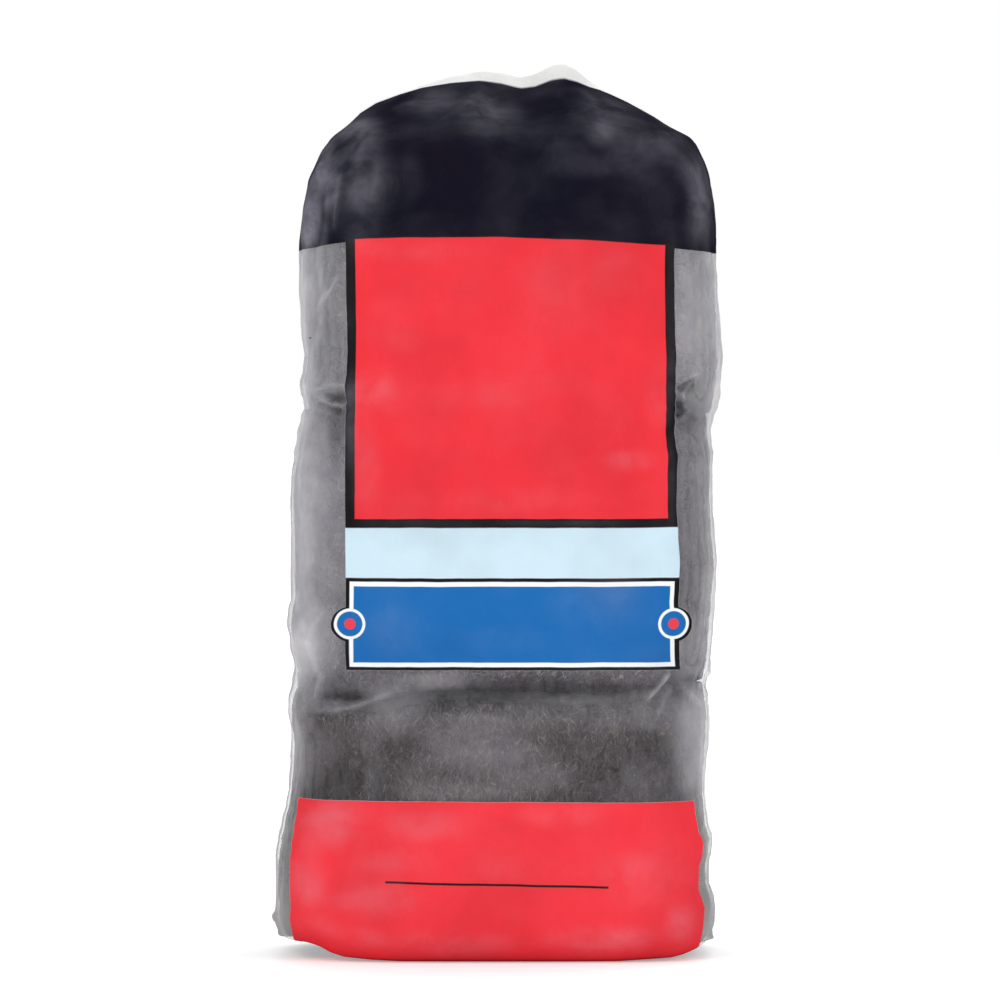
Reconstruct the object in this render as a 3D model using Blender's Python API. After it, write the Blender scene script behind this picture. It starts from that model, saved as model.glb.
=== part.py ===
"""A clear printed bag that holds twelve steel wool pads: three grades, four pads of each.

The pads stand on edge in three tiers, coarse below, medium, and fine on top. Each pad is a ribbon of
steel wool rolled flat. The bag is one tube of clear film, sealed across at both ends: the top seal stands
up as a wavy fin over a gabled roof, and the bottom seal is folded under, so that its ends stick out as
ears. Its print is plain fields of colour. The bag stands on its bottom.

Metres, +Z up. The origin is the middle of the flat bottom, and the front looks along -Y.
"""

import math

import bmesh
import bpy

# Pads. Each is a ribbon rolled flat: its width lies across the bag, its thickness from front to back.
PAD_WIDTH = 0.1016
PAD_HEIGHT = 0.0660
PAD_THICKNESS = 0.0175
GRADES = ("coarse", "medium", "fine")
PADS_DEEP = 4
PAD_GAP = 0.0004
RIBBON_SLIT = 0.0004
RIM_THINNING = 0.00085
RIM_LENGTH = 0.0035

# Film, with its clearance round the wool. The wool sits a little to the right of the seals.
FILM_WALL = 0.0004
FILM_GAP = 0.0010
FLOOR_GAP = 0.0003
PACK_SHIFT = 0.0015
CORNER_POWER = 4.0

# Rounding of the bag's foot and shoulders, as the inset of its walls over a height.
FOOT_SIDE_INSET = 0.0160
FOOT_FACE_INSET = 0.0095
FOOT_HEIGHT = 0.0090
SHOULDER_INSET = 0.0130
SHOULDER_DROP = 0.0195
SHOULDER_REACH = 0.0230

# Peaks and dips of the slack film: (tiers above the floor, distance out from where even film would lie).
LEFT_WAVE = (
    (0.00, 0.0016), (0.29, 0.0028), (0.79, -0.0011), (0.94, -0.0003), (1.07, -0.0021), (1.24, -0.0003),
    (1.38, -0.0013), (1.68, -0.0011), (2.03, -0.0048), (2.23, -0.0045), (2.50, -0.0033), (2.72, -0.0040),
    (3.00, -0.0037),
)
RIGHT_WAVE = (
    (0.00, 0.0004), (0.20, -0.0004), (0.29, -0.0017), (0.44, -0.0009), (0.68, -0.0026), (0.90, -0.0016),
    (1.02, -0.0026), (1.46, 0.0001), (1.72, -0.0009), (1.85, -0.0006), (1.95, -0.0016), (2.23, 0.0011),
    (2.60, -0.0002), (2.89, -0.0003), (3.00, 0.0010),
)
FRONT_WAVE = ((0.00, 0.0), (0.50, 0.0006), (1.02, -0.0014), (1.50, 0.0008), (2.03, -0.0016), (2.55, 0.0008), (3.00, 0.0))
BACK_WAVE = ((0.00, 0.0), (0.50, 0.0005), (1.00, -0.0010), (1.50, 0.0007), (2.00, -0.0011), (2.50, 0.0006), (3.00, 0.0))
WAVE_START = 0.77

# Roof and top seal: (place along the seal from -1 at its left end to 1, height above the wool).
SEAL_LEFT = -0.0360
SEAL_RIGHT = 0.0430
ROOF_LINE = (
    (-1.0, 0.0050), (-0.90, 0.0085), (-0.68, 0.0120), (-0.54, 0.0140), (-0.18, 0.0159), (0.07, 0.0139),
    (0.34, 0.0163), (0.52, 0.0142), (0.73, 0.0101), (1.0, 0.0044),
)
FIN_LINE = (
    (-1.0, 0.0006), (-0.54, 0.0008), (-0.18, 0.0025), (0.07, 0.0028), (0.30, 0.0037), (0.52, 0.0012), (1.0, 0.0005),
)
FIN_THICKNESS = 0.0010
FIN_SWAY = 0.0016
FIN_SWAYS = 2.5
FIN_LEAN = 0.0020

# Ears where the folded bottom seal ends: heights of their lower end, tip and top, and how far they stick out.
EAR_LOW = 0.0040
EAR_TIP = 0.0100
EAR_TOP = 0.0150
LEFT_EAR = 0.0026
RIGHT_EAR = 0.0014

# Print. Heights are measured down from the top of the wool, or up from the bottom of the bag.
HEADER_DROP = 0.0257
PANEL_HEIGHT = 0.0678
PANEL_FRAME = 0.0026
STRIP_HEIGHT = 0.0122
BOX_HEIGHT = 0.0218
BOX_BORDER = 0.0014
BAND_HEIGHT = 0.0408
PRINT_LEFT_MARGIN = 0.0066
PRINT_RIGHT_MARGIN = 0.0022
BAND_EDGE = 0.80

# Pin hole that lets the air out, on the left of the front.
VENT_DIAMETER = 0.0014
VENT_HEIGHT = 0.1524
VENT_TURN = math.radians(-25)
VENT_REACH = 0.0020

# Fineness of the surfaces.
LEVEL_STEP = 0.0075
LEAST_STEP = 0.0006
COLUMN_STEP = 0.0100
SIDE_COLUMNS = (0.12, 0.40, 0.62, BAND_EDGE, 0.93)
FOOT_STEPS = 4
ROOF_STEPS = (0.35, 0.65, 0.88)
ARC_STEPS = 4
PASS_STEPS = 4

STACK_HALF_WIDTH = PAD_WIDTH / 2
STACK_HALF_DEPTH = (PADS_DEEP * PAD_THICKNESS + (PADS_DEEP - 1) * PAD_GAP) / 2
TIER_PITCH = PAD_HEIGHT + PAD_GAP
STACK_FLOOR = FILM_WALL + FLOOR_GAP
STACK_TOP = STACK_FLOOR + len(GRADES) * TIER_PITCH - PAD_GAP
FILM_GROWTH = FILM_GAP + FILM_WALL
FRONT_FLAT = (STACK_HALF_WIDTH + FILM_GROWTH) / 2 ** (1 / CORNER_POWER)

PRINT_LEFT = PRINT_LEFT_MARGIN - FRONT_FLAT
PRINT_RIGHT = FRONT_FLAT - PRINT_RIGHT_MARGIN
HEADER_EDGE = STACK_TOP - HEADER_DROP
PANEL_EDGE = HEADER_EDGE - PANEL_HEIGHT
STRIP_EDGE = PANEL_EDGE - STRIP_HEIGHT
BOX_EDGE = STRIP_EDGE - BOX_HEIGHT

# Materials: name, colour, roughness, metallic value and how solid it is.
FINISHES = {
    "clear_film": ((0.80, 0.81, 0.82), 0.30, 0.0, 0.35),
    "navy_ink": ((0.012, 0.013, 0.028), 0.32, 0.0, 0.97),
    "red_ink": ((0.80, 0.050, 0.062), 0.32, 0.0, 0.97),
    "black_ink": ((0.017, 0.014, 0.015), 0.32, 0.0, 0.97),
    "pale_blue_ink": ((0.64, 0.80, 0.89), 0.32, 0.0, 0.97),
    "white_ink": ((0.92, 0.93, 0.94), 0.32, 0.0, 0.97),
    "blue_ink": ((0.022, 0.160, 0.450), 0.32, 0.0, 0.97),
    "coarse_wool": ((0.135, 0.120, 0.122), 0.60, 0.6, 1.0),
    "medium_wool": ((0.190, 0.180, 0.185), 0.55, 0.6, 1.0),
    "fine_wool": ((0.260, 0.255, 0.270), 0.50, 0.6, 1.0),
}


def clear_scene():
    for obj in list(bpy.data.objects):
        bpy.data.objects.remove(obj, do_unlink=True)


def material(name):
    """The named Principled material, made once."""
    if name in bpy.data.materials:
        return bpy.data.materials[name]
    colour, roughness, metallic, solidity = FINISHES[name]
    made = bpy.data.materials.new(name)
    made.use_nodes = True
    shader = made.node_tree.nodes["Principled BSDF"]
    shader.inputs["Base Color"].default_value = (*colour, 1.0)
    shader.inputs["Roughness"].default_value = roughness
    shader.inputs["Metallic"].default_value = metallic
    shader.inputs["Alpha"].default_value = solidity
    made.diffuse_color = (*colour, solidity)
    return made


def smooth_between(points, at):
    """The height at a place on a smooth line whose peaks and dips are the points."""
    if at <= points[0][0]:
        return points[0][1]
    for (start, low), (end, high) in zip(points, points[1:]):
        if at <= end:
            share = (at - start) / (end - start)
            return low + (high - low) * share * share * (3 - 2 * share)
    return points[-1][1]


def straight_between(points, at):
    """The height at a place on a line of straight runs between the points."""
    for (start, low), (end, high) in zip(points, points[1:]):
        if at <= end:
            return low + (high - low) * (at - start) / (end - start)
    return points[-1][1]


def subdivide(marks, step):
    """The marks in order, with even steps between them, and none nearer than the least step."""
    kept = []
    for mark in sorted(marks):
        if not kept or mark - kept[-1] > LEAST_STEP:
            kept.append(mark)
    filled = [kept[0]]
    for start, end in zip(kept, kept[1:]):
        count = max(1, math.ceil((end - start) / step))
        filled += [start + (end - start) * i / count for i in range(1, count + 1)]
    return filled


def quarter_round(share):
    """0 where a wall is straight, and 1 where a quarter round has turned it flat."""
    share = min(max(share, 0.0), 1.0)
    return 1 - math.sqrt(1 - share * share)


def inset(z, foot_inset):
    """How far the foot and the shoulders draw a wall in at a height."""
    foot = foot_inset * quarter_round(1 - z / FOOT_HEIGHT)
    shoulder = SHOULDER_INSET * quarter_round((z - STACK_TOP + SHOULDER_DROP) / SHOULDER_REACH)
    return foot + shoulder


def squircle(u, v):
    """The factor that brings a point of the square -1 to 1 into a round-cornered section."""
    largest = max(abs(u), abs(v))
    if largest == 0:
        return 1.0
    return largest / (abs(u) ** CORNER_POWER + abs(v) ** CORNER_POWER) ** (1 / CORNER_POWER)


def section_point(u, v, z, growth, slack):
    """The place in the bag's section at a height for a point of the square, grown outward from the wool.

    With slack, the film's outward waves count. Without, only the dips do, because wool fills no slack.
    """
    tiers = (z - STACK_FLOOR) / TIER_PITCH
    side = smooth_between(RIGHT_WAVE if u > 0 else LEFT_WAVE, tiers)
    face = smooth_between(BACK_WAVE if v > 0 else FRONT_WAVE, tiers)
    if not slack:
        side, face = min(side, 0.0), min(face, 0.0)
    turned = squircle(u, v)
    half_width = STACK_HALF_WIDTH + growth - inset(z, FOOT_SIDE_INSET)
    half_depth = STACK_HALF_DEPTH + growth - inset(z, FOOT_FACE_INSET)
    out = max(0.0, abs(u) - WAVE_START) / (1 - WAVE_START)
    x = PACK_SHIFT + half_width * u * turned + side * out * (1 if u > 0 else -1)
    y = half_depth * v * turned + face * v * abs(v)
    return x, y


def to_square(x, half_width):
    """The place across the square's front edge that lands at x in the section."""
    share = x / half_width
    return share / (1 - abs(share) ** CORNER_POWER) ** (1 / CORNER_POWER)


def front_columns():
    """Points of the square from the left side's middle, round the front, to the right side's middle."""
    half_width = STACK_HALF_WIDTH + FILM_GROWTH
    marks = [PRINT_LEFT, PRINT_LEFT + PANEL_FRAME, PRINT_RIGHT - PANEL_FRAME, PRINT_RIGHT]
    across = [to_square(x, half_width) for x in subdivide(marks, COLUMN_STEP)]
    left = [(-1.0, -v) for v in (0.0, *SIDE_COLUMNS)]
    right = [(1.0, -v) for v in reversed((0.0, *SIDE_COLUMNS))]
    return [*left, *((u, -1.0) for u in across), *right]


def ring_of(front):
    """The front's points and their mirror images at the back, as one closed ring."""
    return [*front, *((u, -v) for u, v in reversed(front[1:-1]))]


def ear(u, v, z):
    """How far the folded seal's ends stick out of the sides' middle near the bottom."""
    if v != 0 or not EAR_LOW < z < EAR_TOP:
        return 0.0
    rise = (z - EAR_LOW) / (EAR_TIP - EAR_LOW) if z < EAR_TIP else (EAR_TOP - z) / (EAR_TOP - EAR_TIP)
    return rise * (RIGHT_EAR if u > 0 else -LEFT_EAR)


def body_levels():
    """Heights of the rings from the floor to the shoulders, with one on each edge of the print."""
    foot = [FOOT_HEIGHT * (1 - math.cos(math.pi / 2 * step / FOOT_STEPS)) for step in range(FOOT_STEPS + 1)]
    joints = [STACK_FLOOR + TIER_PITCH * tier for tier in range(1, len(GRADES))]
    edges = [BAND_HEIGHT, BOX_EDGE, STRIP_EDGE, PANEL_EDGE, PANEL_EDGE + PANEL_FRAME, HEADER_EDGE]
    shoulders = [STACK_TOP - SHOULDER_DROP * share for share in (0.7, 0.4, 0.2, 0.0)]
    return subdivide([*foot, EAR_LOW, EAR_TIP, EAR_TOP, *joints, *edges, *shoulders], LEVEL_STEP)


def seal_place(x, left, right):
    """Where a shoulder point comes to lie along the top seal, from -1 to 1."""
    return 2 * (x - left) / (right - left) - 1


def roof_point(u, v, share, growth, left, right):
    """A point of the gabled roof, from the shoulder at share 0 to the foot of the top seal at 1."""
    x, y = section_point(u, v, STACK_TOP, growth, slack=True)
    along = min(max(seal_place(x, left, right), -1.0), 1.0)
    seal_x = SEAL_LEFT + (SEAL_RIGHT - SEAL_LEFT) * (along + 1) / 2
    rise = straight_between(ROOF_LINE, along)
    lift = share ** 0.75
    sway = seal_sway(along) * share
    return (
        x + (seal_x - x) * share,
        y * (1 - share) + v * FIN_THICKNESS / 2 * share + sway,
        STACK_TOP + rise * lift,
    )


def seal_sway(along):
    """How far back or forward the top seal waves at a place along it."""
    return FIN_LEAN / 2 + FIN_SWAY * math.sin(math.pi * FIN_SWAYS * (along + 1) / 2) * (1 - along * along)


def fin_point(u, v, growth, left, right):
    """A point of the top seal's upper edge."""
    x, y, z = roof_point(u, v, 1.0, growth, left, right)
    along = min(max(2 * (x - SEAL_LEFT) / (SEAL_RIGHT - SEAL_LEFT) - 1, -1.0), 1.0)
    return x, y + FIN_LEAN, z + straight_between(FIN_LINE, along)


def add_ring(mesh, places):
    return [mesh.verts.new(place) for place in places]


def join_rings(mesh, rings, outward):
    """Faces between each ring and the next one up."""
    for low, high in zip(rings, rings[1:]):
        for i, corner in enumerate(low):
            after = (i + 1) % len(low)
            face = (corner, low[after], high[after], high[i])
            mesh.faces.new(face if outward else face[::-1])


def cap_ring(mesh, ring, upward):
    """Closes a ring with faces that run from its front points to the mirror images at the back."""
    half = len(ring) // 2
    for i in range(half):
        corners = [ring[i], ring[i + 1], ring[-(i + 1) % len(ring)], ring[-i % len(ring)]]
        unique = list(dict.fromkeys(corners))
        mesh.faces.new(unique if upward else unique[::-1])


def skin(mesh, growth, outward):
    """One side of the film: its outer face with ears and seal, or its inner face without them."""
    ring = ring_of(front_columns())
    wall = 0.0 if outward else FILM_WALL
    rings = []
    for z in body_levels():
        lifted = max(z, wall)
        places = []
        for u, v in ring:
            x, y = section_point(u, v, z, growth, slack=True)
            places.append((x + (ear(u, v, z) if outward else 0.0), y, lifted))
        rings.append(add_ring(mesh, places))
    ends = [section_point(side, 0.0, STACK_TOP, growth, slack=True)[0] for side in (-1.0, 1.0)]
    for share in ROOF_STEPS:
        places = [roof_point(u, v, share, growth, *ends) for u, v in ring]
        rings.append(add_ring(mesh, [(x, y, z - wall) for x, y, z in places]))
    if outward:
        rings.append(add_ring(mesh, [roof_point(u, v, 1.0, growth, *ends) for u, v in ring]))
        rings.append(add_ring(mesh, [fin_point(u, v, growth, *ends) for u, v in ring]))
    join_rings(mesh, rings, outward)
    cap_ring(mesh, rings[0], upward=not outward)
    cap_ring(mesh, rings[-1], upward=outward)


def print_field(x, y, z):
    """The name of the material that the print gives a face of the film by its centre."""
    across = x - PACK_SHIFT
    if z > HEADER_EDGE:
        return "clear_film" if z > STACK_TOP + ROOF_LINE[0][1] and abs(y) < FIN_THICKNESS * 3 else "navy_ink"
    if y > 0:
        return "clear_film"
    if z < BAND_HEIGHT:
        side_x, _ = section_point(1.0, -BAND_EDGE, z, FILM_GROWTH, slack=True)
        return "red_ink" if abs(across) < side_x - PACK_SHIFT else "clear_film"
    if not PRINT_LEFT < across < PRINT_RIGHT or z < BOX_EDGE:
        return "clear_film"
    if z < STRIP_EDGE:
        return "blue_ink"
    if z < PANEL_EDGE:
        return "pale_blue_ink"
    inside = PRINT_LEFT + PANEL_FRAME < across < PRINT_RIGHT - PANEL_FRAME and z > PANEL_EDGE + PANEL_FRAME
    return "red_ink" if inside else "black_ink"


def add_object(name, mesh, material_names):
    """A smooth-shaded object from the mesh, which is freed."""
    data = bpy.data.meshes.new(name)
    mesh.normal_update()
    mesh.to_mesh(data)
    mesh.free()
    for entry in material_names:
        data.materials.append(material(entry))
    data.shade_smooth()
    data.set_sharp_from_angle(angle=math.radians(50))
    obj = bpy.data.objects.new(name, data)
    bpy.context.scene.collection.objects.link(obj)
    return obj


def vent_cutter():
    """A thin rod through the film's wall, across the surface there."""
    u, v = -math.cos(VENT_TURN), math.sin(VENT_TURN)
    scale = 1 / max(abs(u), abs(v))
    x, y = section_point(u * scale, v * scale, VENT_HEIGHT, FILM_GROWTH, slack=True)
    bpy.ops.mesh.primitive_cylinder_add(vertices=10, radius=VENT_DIAMETER / 2, depth=2 * VENT_REACH)
    cutter = bpy.context.object
    cutter.name = "vent_cutter"
    cutter.location = (x, y, VENT_HEIGHT)
    cutter.rotation_euler = (0.0, math.radians(90), VENT_TURN)
    cutter.hide_render = True
    cutter.display_type = "WIRE"
    return cutter


def make_bag():
    """The sealed film bag, one thin wall with a pin hole, its print as fields of colour."""
    mesh = bmesh.new()
    skin(mesh, FILM_GROWTH, outward=True)
    skin(mesh, FILM_GAP, outward=False)
    inks = [name for name in FINISHES if name.endswith(("film", "ink"))]
    for face in mesh.faces:
        face.material_index = inks.index(print_field(*face.calc_center_median()))
    bag = add_object("bag_film", mesh, inks)
    hole = bag.modifiers.new("vent", "BOOLEAN")
    hole.operation = "DIFFERENCE"
    hole.solver = "EXACT"
    hole.object = vent_cutter()
    return bag


def straight_pass(across, start, end):
    """Points down or up one straight pass of the ribbon, with the direction out of its turn."""
    out = 1.0 if start > end else -1.0
    return [((across, start + (end - start) * i / PASS_STEPS), (out, 0.0)) for i in range(PASS_STEPS + 1)]


def turn(centre, radius, start, end, steps):
    """Points between the ends of one rounded turn of the ribbon, with the direction out of it."""
    angles = [start + (end - start) * i / steps for i in range(1, steps + 1)]
    cx, cz = centre
    return [((cx + radius * math.cos(a), cz + radius * math.sin(a)), (math.cos(a), math.sin(a))) for a in angles]


def roll_line():
    """The middle line of the rolled ribbon in a pad's section, from its inner end to its outer one.

    It is four straight passes joined by half turns, each half a pitch wider than the last, and it ends with
    a quarter turn over the top.
    """
    pitch = (PAD_THICKNESS + RIBBON_SLIT) / 4
    ribbon = pitch - RIBBON_SLIT
    reach = (PAD_HEIGHT - 3.5 * pitch - ribbon) / 2
    centre = pitch / 4
    top, bottom = reach - pitch / 4, -reach - pitch / 4
    line = straight_pass(pitch / 4, top, bottom)
    line += turn((-centre, bottom), pitch / 2, 0.0, -math.pi, ARC_STEPS)[:-1]
    line += straight_pass(-pitch * 3 / 4, bottom, top)
    line += turn((centre, top), pitch, math.pi, 0.0, ARC_STEPS)[:-1]
    line += straight_pass(pitch * 5 / 4, top, bottom)
    line += turn((-centre, bottom), pitch * 3 / 2, 0.0, -math.pi, ARC_STEPS)[:-1]
    line += straight_pass(-pitch * 7 / 4, bottom, top)
    line += turn((centre, top), pitch * 2, math.pi, math.pi / 2, ARC_STEPS // 2)
    return [((across + centre, up), out) for (across, up), out in line], ribbon


def make_pad(name, grade, tier, place):
    """One rolled pad in its tier and place from front to back. Every other one faces back."""
    line, ribbon = roll_line()
    flip = -1.0 if place % 2 == 0 else 1.0
    middle_y = -STACK_HALF_DEPTH + PAD_THICKNESS / 2 + place * (PAD_THICKNESS + PAD_GAP)
    middle_z = STACK_FLOOR + PAD_HEIGHT / 2 + tier * TIER_PITCH
    rim = 1 - RIM_LENGTH / STACK_HALF_WIDTH
    mesh = bmesh.new()
    rings = []
    for u in (-1.0, -rim, 0.0, rim, 1.0):
        half = ribbon / 2 - (RIM_THINNING if abs(u) == 1.0 else 0.0)
        sides = []
        for side in (half, -half):
            row = []
            for (across, up), (out_x, out_z) in line:
                y = middle_y + flip * (across + out_x * side)
                z = middle_z + up + out_z * side
                x, y = section_point(u, y / STACK_HALF_DEPTH, z, 0.0, slack=False)
                row.append(mesh.verts.new((x, y, z)))
            sides.append(row)
        rings.append((sides[0], sides[1]))
    for (low_out, low_in), (high_out, high_in) in zip(rings, rings[1:]):
        low = low_out + low_in[::-1]
        high = high_out + high_in[::-1]
        join_rings(mesh, [low, high], outward=flip < 0)
    for (outer, inner), facing in ((rings[0], flip < 0), (rings[-1], flip > 0)):
        for i in range(len(outer) - 1):
            face = (outer[i], outer[i + 1], inner[i + 1], inner[i])
            mesh.faces.new(face if facing else face[::-1])
    bmesh.ops.recalc_face_normals(mesh, faces=mesh.faces)
    return add_object(name, mesh, [f"{grade}_wool"])


def make_pads():
    """The pads of each grade, tier by tier from the bottom."""
    for tier, grade in enumerate(GRADES):
        for place in range(PADS_DEEP):
            make_pad(f"{grade}_pad_{place + 1}", grade, tier, place)


clear_scene()
make_bag()
make_pads()
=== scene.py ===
"""Looks of the bag: its slack printed film, the wool inside with its loose fibres, and the studio.

The film follows the same section as its solid, with the outline, folds and print of the photo laid over it.
Places on the print are given in the photo's own pixels, and are carried to the front of the bag through the
camera that is set up here.
"""

import math
from functools import partialmethod

import bpy
import numpy as np
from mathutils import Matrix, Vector


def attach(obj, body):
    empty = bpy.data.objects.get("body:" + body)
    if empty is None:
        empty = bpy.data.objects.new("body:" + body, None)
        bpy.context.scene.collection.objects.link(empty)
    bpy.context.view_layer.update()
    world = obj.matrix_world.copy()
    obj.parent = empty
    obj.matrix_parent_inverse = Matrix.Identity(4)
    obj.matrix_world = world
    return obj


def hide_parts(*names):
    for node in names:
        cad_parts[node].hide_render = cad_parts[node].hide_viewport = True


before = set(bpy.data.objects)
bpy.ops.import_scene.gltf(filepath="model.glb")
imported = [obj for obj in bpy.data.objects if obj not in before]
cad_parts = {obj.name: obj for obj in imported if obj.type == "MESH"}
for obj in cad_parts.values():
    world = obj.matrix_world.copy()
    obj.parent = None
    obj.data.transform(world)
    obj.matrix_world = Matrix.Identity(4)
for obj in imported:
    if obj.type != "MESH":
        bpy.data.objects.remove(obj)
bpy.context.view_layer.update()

# The solids' own sizes, in millimetres.
PAD_W, PAD_H, PAD_T, PAD_GAP, SLIT = 101.6, 66.0, 17.5, 0.4, 0.4
HALF_W = PAD_W / 2
HALF_D = (4 * PAD_T + 3 * PAD_GAP) / 2
FLOOR = 0.7
PITCH = PAD_H + PAD_GAP
TOP = FLOOR + 3 * PITCH - PAD_GAP
SHIFT = 1.5  # how far the pads' middle lies to the right of the origin
GROWTH = 1.4  # from the pads to the film
FOOT_SIDE, FOOT_FACE, FOOT_H = 3.5, 9.5, 9.0
SHOULDER, SHOULDER_DROP, SHOULDER_REACH = 13.0, 19.5, 23.0
SEAL_L, SEAL_R = -36.0, 43.0
GRADES = ("coarse", "medium", "fine")
MM = 0.001

# The film's grid: rows in the bottom, foot, wall, roof and fin, and columns across the front, a side and the back.
RING_ROWS, FOOT_ROWS, WALL_ROWS, ROOF_ROWS, FIN_ROWS = 10, 12, 252, 25, 7
FILM_COLUMNS = (146, 52, 60)
FIN_MARK = 999.0
CLEARANCE = 0.02  # height of the lowest points over the floor

# Camera: 2 m off, a little above the bag's middle, at a scale that is set at the bag's mid-depth.
AIM = np.array([1.232, 0.0, 111.6])
REACH = 2000.0
RISE = math.radians(1.5)
PIXEL = 0.2464
AHEAD = np.array([0.0, math.cos(RISE), -math.sin(RISE)])
UPWARD = np.array([0.0, math.sin(RISE), math.cos(RISE)])
EYE = AIM - AHEAD * REACH
RIM_NEARER = 1.009  # the outline's rim lies nearer than mid-depth, and is seen this much larger


def to_photo(p):
    """Pixels of the photo at which points in millimetres are seen."""
    away = p - EYE
    depth = away @ AHEAD
    px = 500 + away[..., 0] / depth * REACH / PIXEL
    py = 500 - (away @ UPWARD) / depth * REACH / PIXEL
    return px, py


# The bag's outline in the photo: (row, column) down each side.
LEFT_EDGE = (
    (150, 323), (158, 319), (174, 310), (190, 306), (214, 302), (246, 299.5), (290, 299), (318, 301), (334, 302),
    (354, 304.5), (370, 303.5), (384, 301), (392, 302), (401, 304.5), (407, 305), (416, 302.5), (434, 299),
    (454, 295), (474, 291.5), (502, 290), (530, 291), (580, 291), (598, 291), (610, 288), (624, 287), (640, 289.5),
    (666, 294.5), (680, 292.5), (698, 287.5), (710, 287), (730, 290), (760, 290), (786, 288), (804, 285),
    (822, 281), (838, 277.5), (854, 275), (886, 274), (906, 275),
)
RIGHT_EDGE = (
    (134, 688), (142, 694), (150, 697), (166, 705), (190, 711), (222, 714.5), (254, 716.5), (290, 718.5),
    (334, 720), (358, 721), (374, 719.5), (392, 717), (404, 715), (416, 712), (430, 710), (442, 711.5),
    (454, 714), (474, 713), (502, 713), (530, 715), (562, 717.5), (582, 716), (602, 714), (630, 712), (660, 710),
    (670, 709.5), (677, 706), (684, 705.5), (696, 708), (720, 710), (742, 709), (762, 707), (790, 706),
    (804, 707), (822, 709), (836, 713), (848, 712), (862, 709.5), (884, 709), (896, 713), (906, 715.5),
)
ROOF_LINE = (
    (-1, 4.2), (-0.93, 7.3), (-0.83, 9.8), (-0.68, 12), (-0.544, 13.6), (-0.36, 14.7), (-0.18, 15.2),
    (-0.05, 14.5), (0.07, 13.3), (0.16, 13.7), (0.26, 15.2), (0.34, 15.7), (0.42, 14.9), (0.5, 13.7),
    (0.56, 13.1), (0.635, 11.9), (0.734, 10.1), (0.823, 8.2), (0.9, 6.5), (1, 3.9),
)
FIN_LINE = (
    (-1, 0.4), (-0.6, 0.4), (-0.5, 0.9), (-0.4, 1.5), (-0.28, 2.1), (-0.16, 2.5), (-0.04, 2.7), (0.07, 2.8),
    (0.18, 3.3), (0.29, 3.9), (0.36, 3.6), (0.43, 2.9), (0.5, 1.6), (0.56, 0.6), (0.65, 0.4), (1, 0.4),
)
FRONT_WAVE = ((0, 0), (0.5, 0.6), (1.02, -1.2), (1.5, 0.8), (2.03, -1.4), (2.55, 0.8), (3, 0))
BACK_WAVE = ((0, 0), (0.5, 0.5), (1, -1), (1.5, 0.7), (2, -1.1), (2.5, 0.6), (3, 0))

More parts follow.
